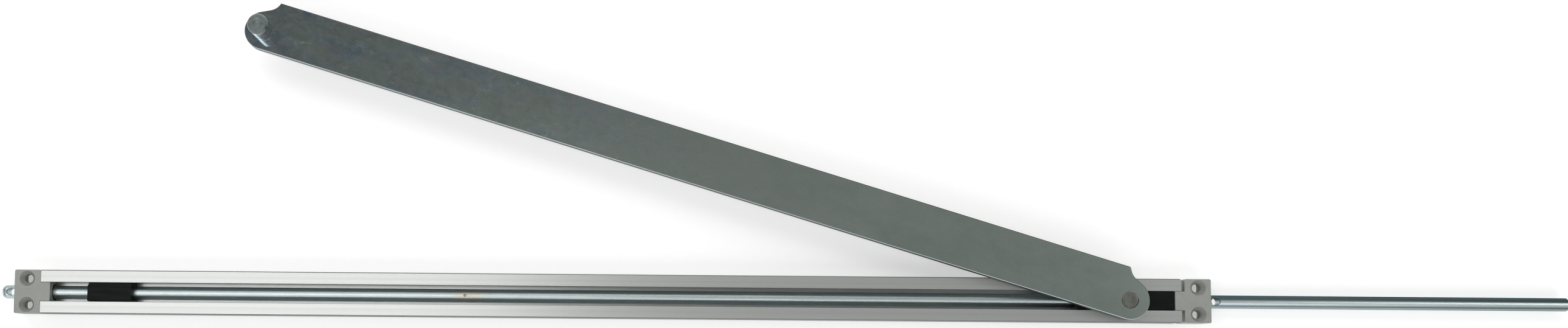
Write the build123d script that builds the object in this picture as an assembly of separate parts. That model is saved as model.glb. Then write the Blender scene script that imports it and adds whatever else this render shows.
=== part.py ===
from build123d import *
import os
from math import acos, atan2, cos, hypot, sin

# Slide channel and arm set of a concealed overhead door closer, with the rod that carries the
# closing sequence on to the second leaf. Millimetres.
#
# X runs along the channel, +Z points out of its slotted face and +Y to the side the arm lies on.
# The origin is the middle of the channel's back face.

# Channel: a C-shaped aluminium extrusion, open through a slot in its face
channel_length = 520.0
channel_width = 20.0
channel_depth = 12.0
floor_thickness = 1.6
wall_thickness = 1.6
lip_thickness = 1.8
slot_width = 8.8
channel_edge_radius = 0.5
channel_inner_radius = 0.4
channel_corner_radius = 1.0

# End caps: a block outside the channel and a plug with a tongue inside it
cap_length = 12.0
cap_plug_length = 4.3
cap_right_standoff = 1.4
cap_corner_radius = 0.8
cap_edge_radius = 0.3
cap_plug_clearance = 0.1
cap_plug_edge_radius = 0.5

# Screw holes in the caps, countersunk in the face and cored out from behind
screw_spacing = 12.0
screw_inset = 5.8
screw_hole_diameter = 3.9
countersink_diameter = 7.0
countersink_depth = 2.8
core_length = 7.2
core_width = 4.4
core_offset = 0.4
core_depth = 6.0
core_corner_radius = 1.0

# Rod and what guides it
rod_diameter = 6.0
rod_height = 5.0
rod_left = -279.6
rod_right = 437.5
rod_nose_radius = 2.2
rod_cut_chamfer = 0.4
cross_hole_diameter = 3.6
cross_hole_left = -274.9
cross_hole_right = 277.0
cross_hole_chamfer = 0.3
punch_mark_position = -65.8
punch_mark_radius = 0.8
punch_mark_depth = 0.6
rod_bore_diameter = 6.8
guide_bush_diameter = 7.6
guide_bush_length = 6.3
running_clearance = 0.05

# Blocks that travel in the channel
slide_clearance = 0.3
block_edge_radius = 0.4
driver_length = 20.0
driver_centre = -228.5
driver_notch_length = 0.7
driver_notch_width = 1.3
driver_pin_diameter = 2.5
driver_pin_wall = 0.5
slider_length = 44.0
insert_length = 14.0
insert_width = 12.0
insert_seat_height = 4.4
insert_top = 12.4

# Pivot of the arm in the slider
pivot_x = 234.8
stud_diameter = 5.0
stud_head_diameter = 7.4
stud_groove_diameter = 4.0
bush_outer_diameter = 7.0
bush_bottom = 10.0
washer_diameter = 12.0
washer_thickness = 0.5
ring_diameter = 7.6
ring_thickness = 0.6
ring_bottom = 9.15
ring_opening = 3.2

# Arm and its two pins
arm_angle = 17.0
arm_reach = 412.0
arm_thickness = 5.0
arm_bottom = 13.0
arm_nose_radius = 8.85
arm_upper_width = 14.4
arm_hollow_radius = 7.0
arm_hollow_centre = (3.1, 16.2)
arm_shoulder_radius = 1.0
arm_edge_radius = 0.35
pin_diameter = 9.6
pin_height = 15.0
pin_chamfer_width = 0.75
pin_chamfer_height = 1.6
pin_tenon_diameter = 6.0
pin_tenon_head_diameter = 7.8
pin_recess_radius = 1.8
pin_step_radius = 3.0
pin_step_depth = 0.12

# Worked out from the above
rod_radius = rod_diameter / 2
half_length = channel_length / 2
cavity_half_width = channel_width / 2 - wall_thickness
cavity_top = channel_depth - lip_thickness
arm_top = arm_bottom + arm_thickness
block_bottom = floor_thickness + slide_clearance
block_shoulder = cavity_top - slide_clearance
block_top = channel_depth - slide_clearance
block_half_width = cavity_half_width - slide_clearance
neck_half_width = slot_width / 2 - slide_clearance
groove_radius = rod_radius + slide_clearance


def box_between(x, y, z):
    """Box from three (low, high) pairs."""
    centre = [(low + high) / 2 for low, high in (x, y, z)]
    return Pos(*centre) * Box(x[1] - x[0], y[1] - y[0], z[1] - z[0])


def rod_along_x(radius, x_low, x_high, height=rod_height):
    """Cylinder on the rod's axis."""
    middle = Pos((x_low + x_high) / 2, 0, height)
    return middle * Rot(0, 90, 0) * Cylinder(radius, x_high - x_low)


def turned(profile, x=0.0, y=0.0):
    """Solid of revolution about a vertical axis, from (radius, height) points."""
    outline = Polyline(*[(radius, 0, height) for radius, height in profile], close=True)
    return Pos(x, y, 0) * revolve(make_face(outline), Axis.Z)


def edges_parallel_to(solid, axis, test):
    """Straight edges along one axis whose midpoints pass a test."""
    return [edge for edge in solid.edges().filter_by(axis) if test(edge.center())]


def channel():
    section = Rectangle(channel_width, channel_depth, align=(Align.CENTER, Align.MIN))
    section = fillet(section.vertices(), channel_edge_radius)
    cavity = Pos(0, floor_thickness) * Rectangle(
        2 * cavity_half_width, cavity_top - floor_thickness, align=(Align.CENTER, Align.MIN)
    )
    section -= fillet(cavity.vertices(), channel_inner_radius)
    section -= Pos(0, channel_depth) * Rectangle(slot_width, 3 * lip_thickness)
    bar = extrude(Plane.YZ * section, amount=half_length, both=True)
    plan = Rectangle(channel_length, channel_width)
    plan = fillet(plan.vertices().sort_by(Axis.X)[-2:], channel_corner_radius)
    return bar & extrude(plan, amount=channel_depth)


def end_cap():
    """Left cap, with its shoulder at X = 0 and its plug towards +X."""
    block = box_between(
        (-cap_length, 0), (-channel_width / 2, channel_width / 2), (0, channel_depth)
    )
    block = fillet(block.edges().filter_by(Axis.Z), cap_corner_radius)
    block = fillet(block.faces().sort_by(Axis.Z)[-1].edges(), cap_edge_radius)
    plug_half_width = cavity_half_width - cap_plug_clearance
    plug = box_between(
        (-1, cap_plug_length),
        (-plug_half_width, plug_half_width),
        (floor_thickness + cap_plug_clearance, cavity_top - cap_plug_clearance),
    )
    tongue_half_width = slot_width / 2 - cap_plug_clearance
    tongue = box_between(
        (-1, cap_plug_length), (-tongue_half_width, tongue_half_width), (rod_height, channel_depth)
    )
    plug = fillet(plug.edges().filter_by(Axis.X), cap_plug_edge_radius)
    cap = block + plug + tongue
    cap -= rod_along_x(rod_bore_diameter / 2, -cap_length - 1, cap_plug_length + 1)
    cap -= guide_bush_blank()
    for side in (-1, 1):
        cap -= screw_hole(side)
    return cap


def screw_hole(side):
    """Countersunk hole and the core behind it, as a solid to cut away."""
    x = screw_inset - cap_length
    y = side * screw_spacing / 2
    core_y = y + side * core_offset
    hole = Pos(x, y, channel_depth / 2) * Cylinder(screw_hole_diameter / 2, channel_depth + 2)
    sink = turned(
        [
            (0, channel_depth - countersink_depth),
            (screw_hole_diameter / 2, channel_depth - countersink_depth),
            (countersink_diameter / 2, channel_depth),
            (countersink_diameter / 2, channel_depth + 1),
            (0, channel_depth + 1),
        ],
        x,
        y,
    )
    core = box_between(
        (x - core_length / 2, x + core_length / 2),
        (core_y - core_width / 2, core_y + core_width / 2),
        (-1, core_depth),
    )
    core = fillet(core.edges().filter_by(Axis.Z), core_corner_radius)
    return hole + sink + core


def guide_bush_blank():
    """Sleeve in the left cap, flush with its tongue's end and with a flat over the floor."""
    low, high = cap_plug_length - guide_bush_length, cap_plug_length
    sleeve = rod_along_x(guide_bush_diameter / 2, low, high)
    flat = floor_thickness + cap_plug_clearance
    return sleeve - Pos(0, 0, flat) * Box(
        4 * guide_bush_length, channel_width, channel_depth, align=(Align.CENTER, Align.CENTER, Align.MAX)
    )


def guide_bush():
    bore = rod_along_x(rod_radius + running_clearance, -cap_length, 2 * cap_plug_length)
    return guide_bush_blank() - bore


def at_left_end(solid):
    return Pos(-half_length, 0, 0) * solid


def at_right_end(solid):
    return Pos(half_length + cap_right_standoff, 0, 0) * Rot(0, 0, 180) * solid


def rod():
    bar = rod_along_x(rod_radius, rod_left, rod_right)
    ends = bar.edges().filter_by(GeomType.CIRCLE).sort_by(Axis.X)
    bar = fillet(ends[0], rod_nose_radius)
    ends = bar.edges().filter_by(GeomType.CIRCLE).sort_by(Axis.X)
    bar = chamfer(ends[-1], rod_cut_chamfer)
    for x in (cross_hole_left, cross_hole_right):
        bar -= Pos(x, 0, rod_height) * Cylinder(cross_hole_diameter / 2, rod_diameter + 2)
        for side in (-1, 1):
            bar -= cross_hole_mouth(x, side)
    bar -= Pos(driver_centre, 0, rod_height) * Rot(90, 0, 0) * Cylinder(
        driver_pin_diameter / 2, rod_diameter + 2
    )
    bar -= punch_mark()
    return bar


def cross_hole_mouth(x, side):
    """Cone that breaks the edge of a cross hole on one side of the rod."""
    cone_height = 2 * cross_hole_chamfer + 1
    narrow = cross_hole_diameter / 2 - cone_height + 2 * cross_hole_chamfer
    wide = cross_hole_diameter / 2 + 2 * cross_hole_chamfer
    middle = rod_height + side * (rod_radius - cone_height / 2)
    return Pos(x, 0, middle) * Rot(0 if side > 0 else 180, 0, 0) * Cone(narrow, wide, cone_height)


def punch_mark():
    tip = rod_height + rod_radius - punch_mark_depth
    return Pos(punch_mark_position, 0, tip + punch_mark_depth) * Cone(
        0.1, 2 * punch_mark_radius - 0.1, 2 * punch_mark_depth
    )


def t_block(length, x):
    """Block with a wide foot under the lips and a neck in the slot."""
    foot = box_between(
        (x - length / 2, x + length / 2),
        (-block_half_width, block_half_width),
        (block_bottom, block_shoulder),
    )
    foot = fillet(foot.edges().filter_by(Axis.Z), 2 * block_edge_radius)
    neck = box_between(
        (x - length / 2, x + length / 2),
        (-neck_half_width, neck_half_width),
        (rod_height, block_top),
    )
    return foot + neck


def driver_block():
    block = t_block(driver_length, driver_centre)
    block -= rod_along_x(rod_radius, driver_centre - driver_length, driver_centre + driver_length)
    left = driver_centre - driver_length / 2
    notch = Pos(left, neck_half_width, block_shoulder) * Polygon(
        (0, 1), (0, -driver_notch_width), (driver_notch_length, 0), (driver_notch_length, 1),
        align=None,
    )
    block -= extrude(notch, amount=channel_depth)
    pin_hole = Cylinder(driver_pin_diameter / 2, channel_width)
    return block - Pos(driver_centre, 0, rod_height) * Rot(90, 0, 0) * pin_hole


def driver_pin():
    """Slotted spring pin across the driver block and the rod."""
    length = 2 * block_half_width - 0.4
    tube = Cylinder(driver_pin_diameter / 2, length)
    tube -= Cylinder(driver_pin_diameter / 2 - driver_pin_wall, length + 2)
    tube -= Pos(driver_pin_diameter / 2, 0, 0) * Box(driver_pin_diameter, 0.5, length + 2)
    return Pos(driver_centre, 0, rod_height) * Rot(90, 0, 0) * tube


def rod_groove(length, x):
    """Inverted U that straddles the rod, as a solid to cut away."""
    low, high = x - length / 2, x + length / 2
    arch = rod_along_x(groove_radius, low, high)
    return arch + box_between((low, high), (-groove_radius, groove_radius), (0, rod_height))


def insert_seat():
    """Pocket in the slider that the insert drops into."""
    half = insert_length / 2
    return box_between(
        (pivot_x - half, pivot_x + half),
        (-insert_width / 2, insert_width / 2),
        (insert_seat_height, channel_depth),
    )


def slider_block():
    return t_block(slider_length, pivot_x) - rod_groove(2 * slider_length, pivot_x) - insert_seat()


def pivot_insert():
    half = insert_length / 2
    body = box_between(
        (pivot_x - half, pivot_x + half),
        (-insert_width / 2, insert_width / 2),
        (insert_seat_height, block_shoulder),
    )
    neck = box_between(
        (pivot_x - half, pivot_x + half),
        (-neck_half_width, neck_half_width),
        (block_shoulder - 1, insert_top),
    )
    insert = body + neck - rod_groove(2 * insert_length, pivot_x)
    ring_space = Cylinder(
        ring_diameter / 2 + 0.2, bush_bottom - rod_height, align=(Align.CENTER, Align.CENTER, Align.MIN)
    )
    insert -= Pos(pivot_x, 0, rod_height) * ring_space
    return insert - Pos(pivot_x, 0, insert_top) * Cylinder(bush_outer_diameter / 2, channel_depth)


def ring_about_pivot(inner, outer, bottom, top):
    return turned([(inner, bottom), (outer, bottom), (outer, top), (inner, top)], pivot_x)


def pivot_bush():
    inner = stud_diameter / 2 + running_clearance
    return ring_about_pivot(inner, bush_outer_diameter / 2, bush_bottom, insert_top)


def thrust_washer():
    inner = stud_diameter / 2 + slide_clearance
    return ring_about_pivot(inner, washer_diameter / 2, insert_top, insert_top + washer_thickness)


def arm_placed(solid):
    """From the arm's own frame, pivot at the origin and door pin towards -X, to the channel's."""
    return Pos(pivot_x, 0, 0) * Rot(0, 0, -arm_angle) * solid


def arm_end_points():
    """Upper side of the outline's right-hand end: where its straight neck leaves the nose and
    meets the hollow, the hollow's middle and its tip on the upper edge."""
    hollow_x, hollow_y = arm_hollow_centre
    radius = arm_hollow_radius
    spread = acos((arm_nose_radius + radius) / hypot(hollow_x, hollow_y))
    neck_angle = atan2(hollow_x, hollow_y) + spread
    direction = (sin(neck_angle), cos(neck_angle))
    neck_start = (arm_nose_radius * direction[0], arm_nose_radius * direction[1])
    neck_end = (hollow_x - radius * direction[0], hollow_y - radius * direction[1])
    rise = arm_upper_width - hollow_y
    tip = (hollow_x - (radius**2 - rise**2) ** 0.5, arm_upper_width)
    end_angles = [atan2(y - hollow_y, x - hollow_x) for x, y in (neck_end, tip)]
    middle_angle = sum(end_angles) / 2
    middle = (hollow_x + radius * cos(middle_angle), hollow_y + radius * sin(middle_angle))
    return neck_start, neck_end, middle, tip


def arm():
    neck_start, neck_end, middle, tip = arm_end_points()
    reach = arm_reach

    def mirrored(point):
        return (-reach - point[0], point[1])

    outline = Curve() + [
        Line((-reach, -arm_nose_radius), (0, -arm_nose_radius)),
        ThreePointArc((0, -arm_nose_radius), (arm_nose_radius, 0), neck_start),
        Line(neck_start, neck_end),
        ThreePointArc(neck_end, middle, tip),
        Line(tip, mirrored(tip)),
        ThreePointArc(mirrored(tip), mirrored(middle), mirrored(neck_end)),
        Line(mirrored(neck_end), mirrored(neck_start)),
        ThreePointArc(mirrored(neck_start), (-reach - arm_nose_radius, 0), (-reach, -arm_nose_radius)),
    ]
    bar = extrude(make_face(outline), amount=arm_thickness)
    shoulder = edges_parallel_to(bar, Axis.Z, lambda p: p.X > -arm_reach / 2 and p.Y > arm_upper_width - 0.1)
    bar = fillet(shoulder, arm_shoulder_radius)
    bar = fillet(bar.faces().sort_by(Axis.Z)[-1].edges(), arm_edge_radius)
    bar = Pos(0, 0, arm_bottom) * bar
    head_depth = (stud_head_diameter - stud_diameter) / 2
    bar -= turned(
        [
            (0, arm_bottom - 1),
            (stud_diameter / 2, arm_bottom - 1),
            (stud_diameter / 2, arm_top - head_depth),
            (stud_head_diameter / 2, arm_top),
            (stud_head_diameter / 2, arm_top + 1),
            (0, arm_top + 1),
        ]
    )
    tenon_head_depth = (pin_tenon_head_diameter - pin_tenon_diameter) / 2
    bar -= turned(
        [
            (0, arm_bottom - 1),
            (pin_tenon_head_diameter / 2, arm_bottom - 1),
            (pin_tenon_head_diameter / 2, arm_bottom),
            (pin_tenon_diameter / 2, arm_bottom + tenon_head_depth),
            (pin_tenon_diameter / 2, arm_top + 1),
            (0, arm_top + 1),
        ],
        -arm_reach,
    )
    return arm_placed(bar)


def pivot_stud():
    """Shouldered rivet: formed flush in the arm, free to turn in the slider's bush."""
    radius = stud_diameter / 2
    head_radius = stud_head_diameter / 2
    seat_radius = stud_groove_diameter / 2
    bottom = ring_bottom - 0.6
    return turned(
        [
            (0, bottom),
            (radius - 0.2, bottom),
            (radius, bottom + 0.2),
            (radius, ring_bottom - 0.05),
            (seat_radius, ring_bottom - 0.05),
            (seat_radius, ring_bottom + ring_thickness + 0.05),
            (radius, ring_bottom + ring_thickness + 0.05),
            (radius, arm_top - head_radius + radius),
            (head_radius, arm_top),
            (0, arm_top),
        ],
        pivot_x,
    )


def retaining_ring():
    """Open ring clipped into the stud's groove."""
    ring = Cylinder(ring_diameter / 2, ring_thickness, align=(Align.CENTER, Align.CENTER, Align.MIN))
    ring -= Cylinder(stud_groove_diameter / 2, 3 * ring_thickness)
    ring -= Pos(-ring_diameter / 2, 0, 0) * Box(ring_diameter, ring_opening, 3 * ring_thickness)
    return Pos(pivot_x, 0, ring_bottom) * Rot(0, 0, -arm_angle) * ring


def door_pin():
    """Turned pin with a tenon riveted through the arm."""
    radius = pin_diameter / 2
    tenon = pin_tenon_diameter / 2
    tenon_head = pin_tenon_head_diameter / 2
    top = arm_top + pin_height
    face_radius = radius - pin_chamfer_width
    pin = turned(
        [
            (0, arm_bottom),
            (tenon_head, arm_bottom),
            (tenon, arm_bottom + tenon_head - tenon),
            (tenon, arm_top),
            (radius, arm_top),
            (radius, top - pin_chamfer_height),
            (face_radius, top - pin_step_depth),
            (pin_step_radius, top - pin_step_depth),
            (pin_step_radius, top),
            (pin_recess_radius, top),
            (pin_recess_radius, top - pin_step_depth),
            (0, top - pin_step_depth),
        ]
    )
    return arm_placed(Pos(-arm_reach, 0, 0) * pin)


nodes = {
    "channel": channel(),
    "end_cap_left": at_left_end(end_cap()),
    "end_cap_right": at_right_end(end_cap()),
    "guide_bush_left": at_left_end(guide_bush()),
    "guide_bush_right": at_right_end(guide_bush()),
    "rod": rod(),
    "driver_block": driver_block(),
    "driver_pin": driver_pin(),
    "slider_block": slider_block(),
    "pivot_insert": pivot_insert(),
    "pivot_bush": pivot_bush(),
    "thrust_washer": thrust_washer(),
    "arm": arm(),
    "pivot_stud": pivot_stud(),
    "retaining_ring": retaining_ring(),
    "door_pin": door_pin(),
}

os.makedirs("parts", exist_ok=True)
for name, solid in nodes.items():
    export_step(solid, f"parts/{name}.step")
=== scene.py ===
import math

import bmesh
import bpy
from mathutils import Matrix, Vector


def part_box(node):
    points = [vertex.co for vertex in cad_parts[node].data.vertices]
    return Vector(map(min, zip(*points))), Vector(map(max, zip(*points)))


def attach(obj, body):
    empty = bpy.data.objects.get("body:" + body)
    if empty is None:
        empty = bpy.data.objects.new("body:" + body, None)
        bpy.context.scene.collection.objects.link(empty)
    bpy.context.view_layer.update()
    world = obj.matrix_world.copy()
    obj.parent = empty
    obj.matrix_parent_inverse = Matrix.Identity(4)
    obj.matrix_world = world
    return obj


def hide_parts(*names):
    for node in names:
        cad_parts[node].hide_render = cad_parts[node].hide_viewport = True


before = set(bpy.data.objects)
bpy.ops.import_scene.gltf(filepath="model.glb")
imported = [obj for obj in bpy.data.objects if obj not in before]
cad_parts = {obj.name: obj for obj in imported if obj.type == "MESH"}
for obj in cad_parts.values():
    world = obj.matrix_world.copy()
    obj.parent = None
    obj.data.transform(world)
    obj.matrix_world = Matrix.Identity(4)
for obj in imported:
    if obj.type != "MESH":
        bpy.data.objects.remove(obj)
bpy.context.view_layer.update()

# Looks of a door closer's slide channel, arm and rod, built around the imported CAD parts.
# Metres, in the CAD's frame: X along the channel, Z out of its slotted face.

MM = 0.001

# ---------------------------------------------------------------- places and sizes, from the frame
channel_low, channel_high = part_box("channel")
arm_low, arm_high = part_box("arm")
rod_low, rod_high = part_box("rod")
stud_low, stud_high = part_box("pivot_stud")
pin_low, pin_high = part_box("door_pin")

channel_width = channel_high.y - channel_low.y
channel_depth = channel_high.z
rod_radius = (rod_high.z - rod_low.z) / 2
pivot = Vector(((stud_low.x + stud_high.x) / 2, (stud_low.y + stud_high.y) / 2, 0))
pin_place = Vector(((pin_low.x + pin_high.x) / 2, (pin_low.y + pin_high.y) / 2, 0))
arm_reach = (pin_place - pivot).length
arm_angle = math.atan2(pivot.y - pin_place.y, pivot.x - pin_place.x)
arm_frame = Matrix.Translation(pivot) @ Matrix.Rotation(arm_angle, 4, "Z")
pin_radius = (pin_high.x - pin_low.x) / 2
pin_side_top = pin_high.z - 1.75 * MM
tenon_head_radius = pin_radius - 0.9 * MM
stud_head_radius = (stud_high.x - stud_low.x) / 2
stud_shank_radius = stud_head_radius - 1.2 * MM

# ---------------------------------------------------------------- sections that the boxes don't give
wall = 1.6 * MM
lip = 1.8 * MM
slot_half_width = 4.4 * MM
edge_radius = 0.5 * MM
slot_edge_radius = 0.15 * MM
inner_radius = 0.4 * MM
end_corner_radius = 1.0 * MM
saw_chamfer = 0.08 * MM
station_spacing = 10 * MM

arm_nose_radius = 8.85 * MM
arm_upper_width = 14.4 * MM
arm_hollow_radius = 7.0 * MM
arm_hollow_centre = Vector((3.1 * MM, 16.2 * MM))
arm_shoulder_radius = 1.0 * MM
arm_edge_radius = 0.35 * MM

band_start, band_end = -71.6 * MM, -58.2 * MM  # rubbed zone along the rod


# ---------------------------------------------------------------- mesh helpers
def add_object(name, bm, place=None):
    """A mesh object from a bmesh, smooth except at real edges."""
    bmesh.ops.recalc_face_normals(bm, faces=bm.faces)
    mesh = bpy.data.meshes.new(name)
    bm.to_mesh(mesh)
    bm.free()
    made = bpy.data.objects.new(name, mesh)
    bpy.context.scene.collection.objects.link(made)
    if place is not None:
        made.matrix_world = place
    shade(made)
    return made


def shade(piece, sharpest=34):
    """Smooth faces, except across edges of more than that many degrees."""
    for face in piece.data.polygons:
        face.use_smooth = True
    piece.data.set_sharp_from_angle(angle=math.radians(sharpest))
    flattened = piece.modifiers.new("flat faces stay flat", "WEIGHTED_NORMAL")
    flattened.keep_sharp = True


def arc(centre, radius, start, end, steps):
    """Points on an arc, both ends included; angles in radians."""
    angles = [start + (end - start) * i / steps for i in range(steps + 1)]
    return [Vector((centre[0] + radius * math.cos(a), centre[1] + radius * math.sin(a))) for a in angles]


def round_corner(corner, back, ahead, radius, steps=6):
    """Arc that replaces a corner between two unit directions leading away from it."""
    half = back.angle(ahead) / 2
    centre = corner + (back + ahead).normalized() * radius / math.sin(half)
    reach = radius / math.tan(half)
    first, last = corner + back * reach - centre, corner + ahead * reach - centre
    turn = first.angle_signed(last)
    return [centre + Matrix.Rotation(-turn * i / steps, 2) @ first for i in range(steps + 1)]


def rounded_outline(corners, steps):
    """Closed outline from (x, y, radius) corners, each rounded by its radius."""
    outline = []
    count = len(corners)
    for i, (x, y, radius) in enumerate(corners):
        here = Vector((x, y))
        before = (Vector(corners[i - 1][:2]) - here).normalized()
        after = (Vector(corners[(i + 1) % count][:2]) - here).normalized()
        outline += round_corner(here, before, after, radius, steps)
    return outline


def inset_outline(outline, distance):
    """The outline moved inwards; it runs anticlockwise."""
    moved = []
    count = len(outline)
    for i, point in enumerate(outline):
        before = (point - outline[i - 1]).normalized()
        after = (outline[(i + 1) % count] - point).normalized()
        left_before, left_after = Vector((-before.y, before.x)), Vector((-after.y, after.x))
        bisector = (left_before + left_after).normalized()
        moved.append(point + bisector * distance / max(bisector.dot(left_after), 0.3))
    return moved


def stack_rings(bm, rings):
    """Walls between rings of points that have the same count. Returns the rings' vertices."""
    made = [[bm.verts.new(point) for point in ring] for ring in rings]
    count = len(made[0])
    for low, high in zip(made, made[1:]):
        for i in range(count):
            j = (i + 1) % count
            bm.faces.new((low[i], low[j], high[j], high[i]))
    return made


def close_with_holes(bm, loops):
    """Flat face between an outer loop and any inner loops."""
    edges = []
    for loop in loops:
        for i, vertex in enumerate(loop):
            other = loop[(i + 1) % len(loop)]
            edges.append(bm.edges.get((vertex, other)) or bm.edges.new((vertex, other)))
    bmesh.ops.triangle_fill(bm, edges=edges, use_beauty=True)


def round_rings(profile, centre_x=0.0, segments=72):
    """Rings of points about an axis along Z, from (radius, height) pairs."""
    turns = [2 * math.pi * i / segments for i in range(segments)]
    return [[(r * math.cos(a) + centre_x, r * math.sin(a), z) for a in turns] for r, z in profile]


def lathe(name, profile, place, segments=96):
    """Solid turned about Z from (radius, height) points, whose first and last are on the axis."""
    bm = bmesh.new()
    bottom = bm.verts.new((0, 0, profile[0][1]))
    top = bm.verts.new((0, 0, profile[-1][1]))
    made = stack_rings(bm, round_rings(profile[1:-1], segments=segments))
    for i in range(segments):
        j = (i + 1) % segments
        bm.faces.new((bottom, made[0][j], made[0][i]))
        bm.faces.new((top, made[-1][i], made[-1][j]))
    return add_object(name, bm, place)


# ---------------------------------------------------------------- material helpers
class Nodes:
    """Short calls for one material's node tree. Noise sizes and relief depths are in millimetres."""

    def __init__(self, name):
        self.material = bpy.data.materials.new(name)
        self.material.use_nodes = True
        self.tree = self.material.node_tree
        self.shader = self.tree.nodes["Principled BSDF"]
        self.place = self.add("ShaderNodeTexCoord").outputs["Object"]

    def add(self, kind, **settings):
        made = self.tree.nodes.new(kind)
        for name, value in settings.items():
            setattr(made, name, value)
        return made

    def feed(self, socket, value):
        if isinstance(value, bpy.types.NodeSocket):
            self.tree.links.new(value, socket)
        else:
            socket.default_value = value

    def start_at(self, point, turn):
        """From here on, coordinates start at a point and are turned about Z."""
        mapping = self.add("ShaderNodeMapping", vector_type="TEXTURE")
        self.feed(mapping.inputs["Vector"], self.place)
        mapping.inputs["Location"].default_value = point
        mapping.inputs["Rotation"].default_value = (0, 0, turn)
        self.place = mapping.outputs["Vector"]

    def stretched(self, sizes, turn=0.0):
        """Coordinates in which one unit is sizes[i] millimetres along each axis."""
        mapping = self.add("ShaderNodeMapping", vector_type="TEXTURE")
        self.feed(mapping.inputs["Vector"], self.place)
        mapping.inputs["Scale"].default_value = [size * MM for size in sizes]
        mapping.inputs["Rotation"].default_value = (0, 0, turn)
        return mapping.outputs["Vector"]

    def noise(self, sizes, detail=3.0, roughness=0.55, distortion=0.0, turn=0.0):
        texture = self.add("ShaderNodeTexNoise")
        self.feed(texture.inputs["Vector"], self.stretched(sizes, turn))
        texture.inputs["Scale"].default_value = 1.0
        texture.inputs["Detail"].default_value = detail
        texture.inputs["Roughness"].default_value = roughness
        texture.inputs["Distortion"].default_value = distortion
        return texture.outputs["Fac"]

    def ramp(self, value, stops):
        """Colour or grey from (position, colour or grey) stops."""
        node = self.add("ShaderNodeValToRGB")
        elements = node.color_ramp.elements
        while len(elements) < len(stops):
            elements.new(0.5)
        for element, (position, colour) in zip(elements, stops):
            element.position = position
            grey = isinstance(colour, (int, float))
            element.color = (colour, colour, colour, 1) if grey else (*colour, 1)
        self.feed(node.inputs["Fac"], value)
        return node.outputs["Color"]

    def math(self, operation, *values):
        node = self.add("ShaderNodeMath", operation=operation)
        for socket, value in zip(node.inputs, values):
            self.feed(socket, value)
        return node.outputs["Value"]

    def between(self, value, low, high, to_low=0.0, to_high=1.0):
        """Value from low..high carried to to_low..to_high, held at both ends."""
        node = self.add("ShaderNodeMapRange")
        names = ("Value", "From Min", "From Max", "To Min", "To Max")
        for name, number in zip(names, (value, low, high, to_low, to_high)):
            self.feed(node.inputs[name], number)
        return node.outputs["Result"]

    def mix(self, share, first, second, blend="MIX"):
        node = self.add("ShaderNodeMix", data_type="RGBA", blend_type=blend)
        self.feed(node.inputs["Factor"], share)
        colours = [s for s in node.inputs if s.type == "RGBA"]
        self.feed(colours[0], first if isinstance(first, bpy.types.NodeSocket) else (*first, 1))
        self.feed(colours[1], second if isinstance(second, bpy.types.NodeSocket) else (*second, 1))
        return [s for s in node.outputs if s.type == "RGBA"][0]

    def axis(self, name, source=None):
        node = self.add("ShaderNodeSeparateXYZ")
        self.feed(node.inputs[0], source or self.place)
        return node.outputs[name]

    def bump(self, height, depth, below=None):
        """Height 0..1 as a relief of that depth in millimetres, on top of another relief."""
        node = self.add("ShaderNodeBump")
        node.inputs["Distance"].default_value = depth * MM
        self.feed(node.inputs["Height"], height)
        if below is not None:
            self.feed(node.inputs["Normal"], below)
        return node.outputs["Normal"]

    def finish(self, colour, roughness, normal, metallic, constants=()):
        self.feed(self.shader.inputs["Base Color"], colour)
        self.feed(self.shader.inputs["Roughness"], roughness)
        self.feed(self.shader.inputs["Normal"], normal)
        self.shader.inputs["Metallic"].default_value = metallic
        for name, value in constants:
            self.shader.inputs[name].default_value = value
        return self.material


# ---------------------------------------------------------------- materials
# Each broad metal face keeps its roughness on one side of 0.27. Where it varies across that,
# denoised renders show bright specks.
def anodised_extrusion():
    """Satin aluminium with lines along X, painted shade below its top and a smoother inside."""
    m = Nodes("anodised_extrusion")
    lines = m.noise((900, 0.35, 0.35), detail=3)
    broad_lines = m.noise((1500, 1.6, 1.6), detail=2)
    grain = m.noise((0.5, 0.4, 0.4), detail=2)
    cloud = m.noise((30, 9, 9), detail=2)
    dull = m.between(m.noise((2.4, 0.5, 0.5), detail=2), 0.68, 0.76)
    colour = m.mix(m.between(broad_lines, 0.3, 0.7), (0.64, 0.65, 0.64), (0.73, 0.74, 0.725))
    colour = m.mix(m.between(cloud, 0.35, 0.7, 0.0, 0.35), colour, (0.69, 0.70, 0.67))
    colour = m.mix(m.between(lines, 0.35, 0.7, 0.0, 0.25), colour, (0.60, 0.61, 0.60))
    colour = m.mix(m.math("MULTIPLY", dull, 0.3), colour, (0.56, 0.57, 0.56))
    uneven = m.between(grain, 0.2, 0.8, -0.015, 0.015)
    roughness = m.math("ADD", m.between(lines, 0.3, 0.7, 0.30, 0.34), uneven)
    colour = grainy(m, colour, (0.50, 0.505, 0.495), (0.84, 0.85, 0.84), 0.22)
    # Painted shade: the sides and rounded edges below the flat top are painted dark.
    side = below_top(m, channel_depth)
    colour = m.mix(side, colour, (0.26, 0.27, 0.265))
    roughness = m.math("ADD", roughness, m.math("MULTIPLY", side, 0.22))
    inside = inside_mask(m)
    inside_colour = m.mix(m.between(cloud, 0.3, 0.7), (0.66, 0.675, 0.67), (0.74, 0.755, 0.75))
    colour = m.mix(inside, colour, inside_colour)
    roughness = m.math("SUBTRACT", roughness, m.math("MULTIPLY", inside, 0.2))
    relief = m.bump(m.noise((3, 1.1, 1.1), detail=1), 0.006)
    across = m.add("ShaderNodeTangent", direction_type="RADIAL", axis="X")
    m.feed(m.shader.inputs["Tangent"], across.outputs["Tangent"])
    return m.finish(colour, roughness, relief, 0.85, [("Anisotropic", 0.6)])


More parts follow.
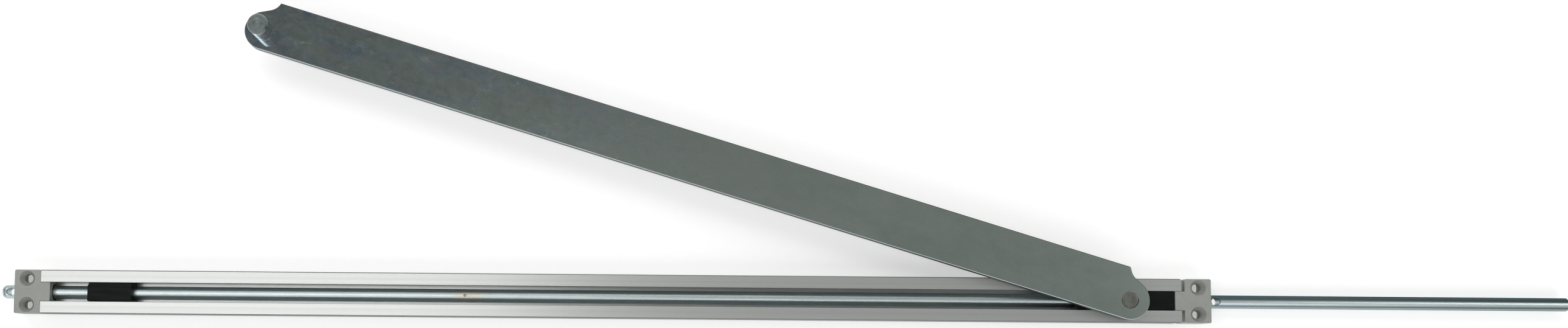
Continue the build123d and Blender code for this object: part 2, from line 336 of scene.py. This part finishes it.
def grainy(m, colour, darker, lighter, strength):
    """Fine uneven grain, both darker and lighter than the colour."""
    fine = m.noise((0.55, 0.5, 0.5), detail=3, roughness=0.7)
    colour = m.mix(m.between(fine, 0.5, 0.75, 0.0, strength), colour, lighter)
    return m.mix(m.between(fine, 0.5, 0.25, 0.0, strength), colour, darker)


def below_top(m, top):
    """1 on edges and sides that lie below a flat top, 0 on the top itself."""
    return m.between(m.axis("Z"), top - 0.012 * MM, top - 0.002 * MM, 1.0, 0.0)


def inside_mask(m):
    """1 on the extrusion's inside, 0 on its outside."""
    height = m.axis("Z")
    aside = m.math("ABSOLUTE", m.axis("Y"))
    inner = channel_width / 2 - wall
    above_floor = m.between(height, 0.5 * MM, 0.9 * MM)
    below_lips = m.between(height, channel_depth - lip, channel_depth - lip + 0.8 * MM, 1.0, 0.0)
    between_walls = m.between(aside, inner, inner + 0.5 * MM, 1.0, 0.0)
    return m.math("MULTIPLY", between_walls, m.math("MULTIPLY", above_floor, below_lips))


def cast_cap():
    """Matt grey casting with flow marks and small pits."""
    m = Nodes("cast_cap")
    grain = m.noise((0.28, 0.28, 0.28), detail=3)
    mottle = m.noise((2.4, 2.4, 2.4), detail=4)
    flow = m.noise((9, 5, 7), detail=2, distortion=0.6)
    pits = m.between(m.noise((0.55, 0.55, 0.55), detail=1), 0.69, 0.75)
    colour = m.mix(m.between(mottle, 0.3, 0.7), (0.36, 0.372, 0.35), (0.41, 0.422, 0.395))
    colour = m.mix(m.between(flow, 0.35, 0.65, 0.0, 0.4), colour, (0.35, 0.36, 0.33))
    colour = m.mix(m.math("MULTIPLY", pits, 0.35), colour, (0.27, 0.28, 0.26))
    colour = grainy(m, colour, (0.24, 0.25, 0.23), (0.48, 0.49, 0.46), 0.3)
    roughness = m.between(mottle, 0.3, 0.7, 0.5, 0.64)
    relief = m.bump(grain, 0.02)
    relief = m.bump(mottle, 0.05, relief)
    return m.finish(colour, roughness, relief, 0.25)


def drawn_zinc_rod():
    """Bluish zinc over draw lines, with a rubbed band and a painted dark reflection on the flanks."""
    m = Nodes("drawn_zinc_rod")
    draw_lines = m.noise((160, 0.3, 0.3), detail=3)
    grain = m.noise((0.55, 0.3, 0.3), detail=3)
    patches = m.noise((18, 5, 5), detail=3)
    bloom = m.noise((60, 9, 9), detail=2)
    specks = m.between(m.noise((0.5, 0.4, 0.4), detail=1), 0.7, 0.77)
    along = m.axis("X")
    frayed = m.math("ADD", along, m.between(patches, 0.2, 0.8, -2.5 * MM, 2.5 * MM))
    band_rise = m.between(frayed, band_start - 0.5 * MM, band_start + 1 * MM)
    band_fall = m.between(frayed, band_end - 3 * MM, band_end + 2 * MM, 1.0, 0.0)
    band = m.math("MULTIPLY", band_rise, band_fall)
    colour = m.mix(m.between(patches, 0.3, 0.7), (0.78, 0.88, 0.89), (0.86, 0.95, 0.95))
    colour = m.mix(m.between(bloom, 0.4, 0.7, 0.0, 0.5), colour, (0.78, 0.89, 0.94))
    colour = m.mix(m.math("MULTIPLY", specks, 0.4), colour, (0.36, 0.40, 0.40))
    colour = m.mix(m.math("MULTIPLY", band, 0.8), colour, (0.90, 0.85, 0.73))
    colour = grainy(m, colour, (0.40, 0.46, 0.47), (0.95, 0.98, 0.97), 0.35)
    # Painted reflection: dark bands are painted along the flanks. They are fainter inside the channel and
    # full beyond its end.
    across = m.between(m.axis("Y"), -rod_radius, rod_radius)
    painted_dark_flanks = m.ramp(
        across,
        [
            (0.0, 0.6),
            (0.08, 0.55),
            (0.18, 0.9),
            (0.27, 0.5),
            (0.34, 0.0),
            (0.48, 0.0),
            (0.57, 0.5),
            (0.67, 0.93),
            (0.95, 1.0),
        ],
    )
    beyond_channel_end = m.between(along, channel_high.x, channel_high.x + 8 * MM, 0.45, 0.98)
    colour = m.mix(m.math("MULTIPLY", painted_dark_flanks, beyond_channel_end), colour, (0.075, 0.11, 0.12))
    uneven = m.between(grain, 0.3, 0.7, -0.015, 0.05)
    roughness = m.math("ADD", m.between(draw_lines, 0.3, 0.7, 0.30, 0.35), uneven)
    roughness = m.math("ADD", roughness, m.math("MULTIPLY", band, 0.05))
    relief = m.bump(draw_lines, 0.0012)
    relief = m.bump(grain, 0.012, relief)
    around = m.add("ShaderNodeTangent", direction_type="RADIAL", axis="X")
    m.feed(m.shader.inputs["Tangent"], around.outputs["Tangent"])
    darker_flanks = ("Specular Tint", (0.28, 0.37, 0.4, 1))
    return m.finish(colour, roughness, relief, 1.0, [("Anisotropic", 0.5), darker_flanks])


def zinc_arm():
    """Zinc plate, plain near the pivot and stained, hazy and scratched towards the pin; painted shade on
    its sides, a painted highlight on some rolled edges.
    """
    m = Nodes("zinc_arm")
    m.start_at(pivot, arm_angle)
    along = m.axis("X")
    orange_peel = m.noise((1.6, 1.6, 1.6), detail=2)
    stains = m.noise((26, 17, 17), detail=4, distortion=0.8)
    tints = m.noise((30, 12, 12), detail=3, distortion=1.0)
    mottle = m.noise((4.5, 3.6, 3.6), detail=5, roughness=0.7, distortion=0.5)
    smears = m.noise((10, 5, 5), detail=5, roughness=0.65, distortion=1.2)
    handled = m.between(along, -arm_reach, -arm_reach * 0.3, 1.0, 0.0)
    even = m.mix(m.between(stains, 0.3, 0.7), (0.43, 0.495, 0.445), (0.51, 0.57, 0.525))
    marked = m.ramp(
        tints,
        [
            (0.32, (0.32, 0.345, 0.31)),
            (0.42, (0.30, 0.37, 0.345)),
            (0.50, (0.32, 0.385, 0.41)),
            (0.57, (0.20, 0.33, 0.46)),
            (0.66, (0.37, 0.345, 0.405)),
        ],
    )
    colour = m.mix(m.between(handled, 0.25, 1.0, 0.08, 0.9), even, marked)
    darkening = m.math("MULTIPLY", m.between(stains, 0.35, 0.7), handled)
    colour = m.mix(m.math("MULTIPLY", darkening, 0.6), colour, (0.15, 0.175, 0.18))
    cloudy = m.math("MULTIPLY", m.between(mottle, 0.4, 0.66, 0.0, 0.7), handled)
    colour = m.mix(cloudy, colour, (0.44, 0.47, 0.475))
    colour = grainy(m, colour, (0.22, 0.25, 0.235), (0.66, 0.71, 0.675), 0.2)
    haze = m.math("MULTIPLY", m.between(smears, 0.58, 0.75), handled)
    colour = m.mix(m.math("MULTIPLY", haze, 0.45), colour, (0.58, 0.62, 0.65))
    scratches = m.math("MULTIPLY", scratch_lines(m), m.between(handled, 0.1, 0.8, 0.05, 1.0))
    colour = m.mix(m.math("MULTIPLY", scratches, 0.4), colour, (0.68, 0.72, 0.71))
    # Painted shade: the arm's sides and rolled edges below its top are painted near black.
    side = below_top(m, arm_high.z)
    colour = m.mix(m.math("MULTIPLY", side, 0.9), colour, (0.05, 0.057, 0.06))
    rolled = m.math("MULTIPLY", side, m.between(m.axis("Z"), arm_high.z - 0.4 * MM, arm_high.z - 0.25 * MM))
    facing = m.axis("Y", m.add("ShaderNodeTexCoord").outputs["Normal"])
    faces_channel = m.between(facing, -0.3, 0.0, 1.0, 0.0)
    # Painted highlight: the rolled edges whose normals face the channel are painted light.
    painted_edge_highlight = m.math("MULTIPLY", rolled, faces_channel)
    colour = m.mix(painted_edge_highlight, colour, (0.55, 0.60, 0.61))
    roughness = m.between(handled, 0.0, 1.0, 0.25, 0.09)
    roughness = m.math("ADD", roughness, m.between(mottle, 0.25, 0.75, -0.02, 0.015))
    roughness = m.math("ADD", roughness, m.math("MULTIPLY", haze, 0.1))
    roughness = m.math("ADD", roughness, m.math("MULTIPLY", side, 0.3))
    relief = m.bump(orange_peel, 0.006)
    relief = m.bump(scratches, 0.003, relief)
    return m.finish(colour, roughness, relief, 1.0)


def scratch_lines(m):
    """Thin broken lines, some winding and some straight."""
    lines = []
    for size, width, gaps, turn in ((23, 0.007, 0.6, 0.4), (13, 0.009, 0.62, 1.3)):
        winding = m.add("ShaderNodeTexVoronoi", feature="DISTANCE_TO_EDGE")
        bent = m.add("ShaderNodeTexNoise")
        m.feed(bent.inputs["Vector"], m.stretched((9, 9, 9), turn))
        bent.inputs["Scale"].default_value = 1.0
        offset = m.add("ShaderNodeVectorMath", operation="MULTIPLY_ADD")
        m.feed(offset.inputs[0], bent.outputs["Color"])
        offset.inputs[1].default_value = (0.35, 0.35, 0.0)
        m.feed(offset.inputs[2], m.stretched((size, size * 0.5, 900), turn))
        m.feed(winding.inputs["Vector"], offset.outputs["Vector"])
        winding.inputs["Scale"].default_value = 1.0
        line = m.between(winding.outputs["Distance"], width * 0.4, width, 1.0, 0.0)
        kept = m.between(m.noise((5, 3, 3), detail=2, turn=turn), gaps, gaps + 0.1)
        lines.append(m.math("MULTIPLY", line, kept))
    for turn in (0.25, -0.7):
        hair = m.noise((26, 0.12, 900), detail=0, turn=turn)
        kept = m.between(m.noise((9, 4, 4), detail=1, turn=turn), 0.6, 0.72)
        lines.append(m.math("MULTIPLY", m.between(hair, 0.74, 0.8, 0.0, 0.55), kept))
    total = lines[0]
    for line in lines[1:]:
        total = m.math("MAXIMUM", total, line)
    return total


def turned_steel():
    """Bright turned side with tool marks, and a duller end face."""
    m = Nodes("turned_steel")
    height = m.axis("Z")
    flat = m.add("ShaderNodeVectorMath", operation="MULTIPLY")
    m.feed(flat.inputs[0], m.place)
    flat.inputs[1].default_value = (1, 1, 0)
    radius = m.add("ShaderNodeVectorMath", operation="LENGTH")
    m.feed(radius.inputs[0], flat.outputs["Vector"])
    tool_path = m.math("ADD", height, radius.outputs["Value"])
    marks = m.add("ShaderNodeTexNoise", noise_dimensions="1D")
    m.feed(marks.inputs["W"], m.math("MULTIPLY", tool_path, 1 / (0.16 * MM)))
    marks.inputs["Scale"].default_value = 1.0
    marks.inputs["Detail"].default_value = 2.0
    patches = m.noise((3.5, 3.5, 3.5), detail=3)
    blotches = m.noise((1.6, 1.6, 1.6), detail=4)
    end_face = m.between(height, pin_side_top, pin_side_top + 0.2 * MM)
    colour = m.mix(m.between(patches, 0.3, 0.7), (0.68, 0.71, 0.685), (0.80, 0.82, 0.80))
    colour = m.mix(m.between(marks.outputs["Fac"], 0.55, 0.8, 0.0, 0.35), colour, (0.42, 0.44, 0.42))
    dull = m.mix(m.between(blotches, 0.35, 0.7), (0.15, 0.185, 0.18), (0.22, 0.24, 0.23))
    dull = m.mix(m.between(marks.outputs["Fac"], 0.5, 0.75, 0.0, 0.4), dull, (0.12, 0.14, 0.135))
    colour = m.mix(end_face, colour, dull)
    roughness = m.between(patches, 0.3, 0.7, 0.14, 0.22)
    roughness = m.math("ADD", roughness, m.math("MULTIPLY", end_face, 0.24))
    relief = m.bump(marks.outputs["Fac"], 0.002)
    return m.finish(colour, roughness, relief, 1.0)


def rivet_steel():
    """Hammered, unpolished steel with brown stains."""
    m = Nodes("rivet_steel")
    grain = m.noise((0.3, 0.3, 0.3), detail=3)
    hammered = m.noise((1.3, 1.3, 1.3), detail=3)
    stains = m.noise((2.6, 2.6, 2.6), detail=3, distortion=0.8)
    colour = m.mix(m.between(stains, 0.35, 0.65), (0.19, 0.195, 0.175), (0.27, 0.275, 0.25))
    colour = m.mix(m.between(stains, 0.62, 0.72, 0.0, 0.5), colour, (0.26, 0.22, 0.18))
    roughness = m.between(grain, 0.3, 0.7, 0.3, 0.44)
    relief = m.bump(grain, 0.008)
    relief = m.bump(hammered, 0.03, relief)
    return m.finish(colour, roughness, relief, 1.0)


def black_plastic():
    """Matt black moulding, a little rubbed and dusty."""
    m = Nodes("black_plastic")
    grain = m.noise((0.3, 0.3, 0.3), detail=2)
    rubbed = m.noise((14, 1.6, 1.6), detail=4)
    dust = m.between(m.noise((0.5, 0.5, 0.5), detail=1), 0.72, 0.78)
    colour = m.mix(m.between(rubbed, 0.35, 0.7), (0.006, 0.0066, 0.0066), (0.010, 0.0108, 0.0108))
    colour = m.mix(m.math("MULTIPLY", dust, 0.06), colour, (0.12, 0.12, 0.11))
    roughness = m.between(rubbed, 0.3, 0.7, 0.5, 0.38)
    relief = m.bump(grain, 0.012)
    return m.finish(colour, roughness, relief, 0.0, [("Specular IOR Level", 0.1)])


def spring_steel():
    """Dark oiled spring steel."""
    m = Nodes("spring_steel")
    grain = m.noise((0.4, 0.4, 0.4), detail=3)
    temper = m.noise((2.5, 2.5, 2.5), detail=2)
    colour = m.mix(m.between(temper, 0.3, 0.7), (0.16, 0.16, 0.17), (0.24, 0.24, 0.25))
    return m.finish(colour, m.between(grain, 0.3, 0.7, 0.3, 0.42), m.bump(grain, 0.006), 1.0)


def sintered_bronze():
    """Warm bronze with dark pores."""
    m = Nodes("sintered_bronze")
    pores = m.noise((0.18, 0.18, 0.18), detail=2)
    stains = m.noise((2.2, 2.2, 2.2), detail=3)
    colour = m.mix(m.between(stains, 0.3, 0.7), (0.50, 0.33, 0.15), (0.60, 0.42, 0.21))
    colour = m.mix(m.between(pores, 0.62, 0.7, 0.0, 0.6), colour, (0.20, 0.13, 0.07))
    return m.finish(colour, m.between(pores, 0.3, 0.7, 0.4, 0.55), m.bump(pores, 0.02), 1.0)


def studio_floor():
    """White paper that glows a little, so that its shadows stay faint."""
    m = Nodes("studio_floor")
    fibre = m.noise((3, 3, 3), detail=4)
    colour = m.mix(m.between(fibre, 0.3, 0.7), (0.92, 0.92, 0.91), (0.94, 0.94, 0.935))
    glow = [("Emission Color", (1, 1, 1, 1)), ("Emission Strength", 0.4)]
    return m.finish(colour, m.between(fibre, 0.3, 0.7, 0.85, 0.95), m.bump(fibre, 0.03), 0.0, glow)


# ---------------------------------------------------------------- pieces
def finish_piece(piece, material, body, slot, *nodes):
    """Gives a piece its material and body and hides the CAD nodes that it stands for. The slot is not used.
    """
    piece.data.materials.clear()
    piece.data.materials.append(material)
    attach(piece, body)
    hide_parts(*nodes)


def channel_outline():
    """C section in (y, z), anticlockwise."""
    half = channel_width / 2
    inner = half - wall
    lip_low = channel_depth - lip
    right = [
        (half, 0, edge_radius),
        (half, channel_depth, edge_radius),
        (slot_half_width, channel_depth, slot_edge_radius),
        (slot_half_width, lip_low, slot_edge_radius),
        (inner, lip_low, inner_radius),
        (inner, wall, inner_radius),
    ]
    left = [(-y, z, radius) for y, z, radius in reversed(right)]
    return rounded_outline(right + left, steps=6)


def build_channel():
    """The section along X, with its right-hand outer corners rounded as seen from above."""
    outline = channel_outline()
    half = channel_width / 2
    steps = 6
    stations = [(channel_low.x, saw_chamfer, half), (channel_low.x + saw_chamfer, 0.0, half)]
    for i in range(1, round((channel_high.x - channel_low.x) / station_spacing)):
        stations.append((channel_low.x + i * station_spacing, 0.0, half))
    for step in range(steps + 1):
        turn = math.pi / 2 * step / steps
        inward = end_corner_radius * (1 - math.cos(turn))
        along = channel_high.x - end_corner_radius * (1 - math.sin(turn))
        stations.append((along, 0.0, half - inward))
    rings = []
    for x, inset, widest in stations:
        points = inset_outline(outline, inset) if inset else outline
        rings.append([(x, max(-widest, min(widest, p.x)), p.y) for p in points])
    bm = bmesh.new()
    made = stack_rings(bm, rings)
    close_with_holes(bm, [made[0]])
    close_with_holes(bm, [made[-1]])
    return add_object("channel_extrusion", bm)


def arm_outline():
    """Outline in the arm's own frame, anticlockwise: pivot at the origin, door pin at -X."""
    hollow = arm_hollow_centre
    spread = math.acos((arm_nose_radius + arm_hollow_radius) / hollow.length)
    touch = math.pi / 2 - math.atan2(hollow.x, hollow.y) - spread
    fall = math.asin((arm_upper_width - hollow.y) / arm_hollow_radius)
    nose = arc((0, 0), arm_nose_radius, -math.pi / 2, touch, 40)
    hollow_arc = arc(hollow, arm_hollow_radius, touch - math.pi, -math.pi - fall, 16)
    right = nose + hollow_arc
    left = [Vector((-arm_reach - p.x, p.y)) for p in reversed(right)]
    corner = right[-1]
    before = (corner - right[-2]).normalized()
    shoulder = round_corner(corner, -before, Vector((-1, 0)), arm_shoulder_radius)
    return right[:-3] + shoulder + left


def build_arm():
    """Flat bar with rolled upper edges, an eye for the stud and a hole for the pin's tenon."""
    outline = arm_outline()
    low, high = arm_low.z, arm_high.z
    steps = 5
    burr = 0.12 * MM
    levels = [(low, burr), (low + burr, 0.0)]
    for step in range(steps + 1):
        turn = math.pi / 2 * step / steps
        drop = arm_edge_radius * (1 - math.sin(turn))
        levels.append((high - drop, arm_edge_radius * (1 - math.cos(turn))))
    bm = bmesh.new()
    rings = []
    for z, inset in levels:
        points = inset_outline(outline, inset) if inset else outline
        rings.append([(p.x, p.y, z) for p in points])
    made = stack_rings(bm, rings)
    eye = [
        (stud_head_radius + 0.16 * MM, high),
        (stud_head_radius + 0.03 * MM, high - 0.2 * MM),
        (stud_shank_radius, high - 1.25 * MM),
        (stud_shank_radius, low + 0.1 * MM),
        (stud_shank_radius + 0.1 * MM, low),
    ]
    tenon_hole = tenon_head_radius - 1.0 * MM
    foot = [(tenon_head_radius, low), (tenon_hole, low + 1.0 * MM), (tenon_hole, high)]
    eye_rings = stack_rings(bm, round_rings(eye))
    foot_rings = stack_rings(bm, round_rings(foot, centre_x=-arm_reach))
    close_with_holes(bm, [made[0], eye_rings[-1], foot_rings[0]])
    close_with_holes(bm, [made[-1], eye_rings[0], foot_rings[-1]])
    bm.transform(arm_frame)
    return add_object("arm_bar", bm)


def build_door_pin():
    """Turned pin: riveted tenon below, tool rings and a chamfer at the top."""
    low, high = pin_low.z, pin_high.z
    seat = arm_high.z
    head = tenon_head_radius
    tenon = head - 0.95 * MM
    face = high - 0.1 * MM
    chamfer = 0.75 * MM
    profile = [
        (0, low),
        (head - 0.2 * MM, low),
        (head - 0.05 * MM, low + 0.05 * MM),
        (tenon, low + 0.95 * MM),
        (tenon, seat + 0.02 * MM),
        (pin_radius - 0.35 * MM, seat + 0.02 * MM),
        (pin_radius - 0.08 * MM, seat + 0.08 * MM),
        (pin_radius, seat + 0.35 * MM),
        (pin_radius, pin_side_top),
        (pin_radius - 0.03 * MM, pin_side_top + 0.15 * MM),
        (pin_radius - chamfer + 0.12 * MM, face - 0.16 * MM),
        (pin_radius - chamfer, face - 0.03 * MM),
        (pin_radius - chamfer - 0.12 * MM, face),
    ]
    ring_groove = 0.02 * MM
    for radius in (3.0 * MM, 2.3 * MM):
        profile += [
            (radius + 0.16 * MM, face),
            (radius + 0.05 * MM, face - ring_groove),
            (radius - 0.05 * MM, face - ring_groove),
            (radius - 0.16 * MM, face),
        ]
    profile += [
        (1.9 * MM, high - 0.04 * MM),
        (1.78 * MM, high),
        (1.66 * MM, high - 0.04 * MM),
        (1.6 * MM, face - 0.05 * MM),
        (0.5 * MM, face - 0.06 * MM),
        (0.3 * MM, face),
        (0, face + 0.01 * MM),
    ]
    return lathe("door_pin_turned", profile, Matrix.Translation(pin_place), segments=128)


def build_pivot_stud():
    """Shouldered rivet, formed flush and a little dished in the arm."""
    low, high = stud_low.z, stud_high.z
    shank = stud_shank_radius
    groove = shank - 0.5 * MM
    ring_low, ring_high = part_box("retaining_ring")
    profile = [
        (0, low),
        (shank - 0.25 * MM, low),
        (shank, low + 0.25 * MM),
        (shank, ring_low.z - 0.05 * MM),
        (groove, ring_low.z - 0.05 * MM),
        (groove, ring_high.z + 0.05 * MM),
        (shank, ring_high.z + 0.05 * MM),
        (shank, high - 1.3 * MM),
        (stud_head_radius - 0.04 * MM, high - 0.22 * MM),
        (stud_head_radius - 0.09 * MM, high - 0.1 * MM),
        (stud_head_radius - 0.2 * MM, high - 0.02 * MM),
        (stud_head_radius - 0.34 * MM, high),
        (shank, high - 0.02 * MM),
        (shank - 1.2 * MM, high - 0.06 * MM),
        (0, high - 0.07 * MM),
    ]
    return lathe("pivot_stud_riveted", profile, Matrix.Translation(pivot))


def dress_cad_node(node, material):
    """A CAD node that stays gets its material."""
    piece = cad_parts[node]
    piece.data.materials.clear()
    piece.data.materials.append(material)


# ---------------------------------------------------------------- camera, floor and light
def add_camera():
    """High above the channel, a little left of its middle, leaning towards the arm."""
    data = bpy.data.cameras.new("camera")
    data.sensor_width = 36
    data.lens = 36.34
    data.shift_x = 0.1346
    data.shift_y = 0.0553
    data.clip_start = 0.01
    camera = bpy.data.objects.new("camera", data)
    camera.location = (-8.3 * MM, -35.0 * MM, 732.8 * MM)
    camera.rotation_euler = [math.radians(a) for a in (4.42, 0.61, 0.508)]
    bpy.context.scene.collection.objects.link(camera)
    bpy.context.scene.camera = camera


def add_panel(name, place, size, power, tilt=0.0, turn=0.0):
    """Soft box that looks down until it is tilted about X and turned about Y, in degrees."""
    data = bpy.data.lights.new(name, "AREA")
    data.shape = "RECTANGLE"
    data.size, data.size_y = size
    data.energy = power
    lamp = bpy.data.objects.new(name, data)
    lamp.location = place
    lamp.rotation_euler = (math.radians(tilt), math.radians(turn), 0)
    bpy.context.scene.collection.objects.link(lamp)


def add_world():
    """Dim, nearly white surroundings."""
    world = bpy.data.worlds.new("studio")
    world.use_nodes = True
    background = world.node_tree.nodes["Background"]
    background.inputs["Color"].default_value = (0.97, 1.0, 0.985, 1)
    background.inputs["Strength"].default_value = 0.25
    bpy.context.scene.world = world


def add_floor():
    """Wide white floor under the channel's back."""
    bm = bmesh.new()
    bmesh.ops.create_grid(bm, x_segments=8, y_segments=8, size=12)
    clear_of_channel = -0.02 * MM
    floor = add_object("floor", bm, Matrix.Translation((0, 0, clear_of_channel)))
    floor.data.materials.append(studio_floor())


# ---------------------------------------------------------------- the object
extrusion = anodised_extrusion()
casting = cast_cap()
rod_zinc = drawn_zinc_rod()
arm_zinc = zinc_arm()
pin_steel = turned_steel()
rivet = rivet_steel()
plastic = black_plastic()
spring = spring_steel()
bronze = sintered_bronze()

finish_piece(build_channel(), extrusion, "channel", "extrusion", "channel")
finish_piece(build_arm(), arm_zinc, "arm", "plated_steel", "arm")
finish_piece(build_door_pin(), pin_steel, "arm", "plated_steel", "door_pin")
finish_piece(build_pivot_stud(), rivet, "arm", "plated_steel", "pivot_stud")
dress_cad_node("end_cap_left", casting)
dress_cad_node("end_cap_right", casting)
dress_cad_node("rod", rod_zinc)
dress_cad_node("driver_block", plastic)
dress_cad_node("slider_block", plastic)
dress_cad_node("guide_bush_left", plastic)
dress_cad_node("guide_bush_right", plastic)
dress_cad_node("driver_pin", spring)
dress_cad_node("retaining_ring", spring)
dress_cad_node("pivot_bush", bronze)
dress_cad_node("pivot_insert", rivet)
dress_cad_node("thrust_washer", rivet)

add_camera()
add_floor()
add_world()
add_panel("key", (-0.64, 0.01, 1.5), (1.12, 0.24), 2.9)
add_panel("key_back", (-0.64, 1.27, 1.14), (2.0, 1.1), 9, tilt=-48)
add_panel("fill_front", (0.0, -1.5, 1.1), (2.6, 2.0), 17, tilt=54)
add_panel("fill_back", (0.0, 1.5, 1.1), (2.6, 2.0), 6, tilt=-54)
add_panel("right_end", (1.08, 0.18, 1.0), (0.5, 0.3), 1.4, turn=40)
bpy.context.scene.view_settings.view_transform = "Standard"
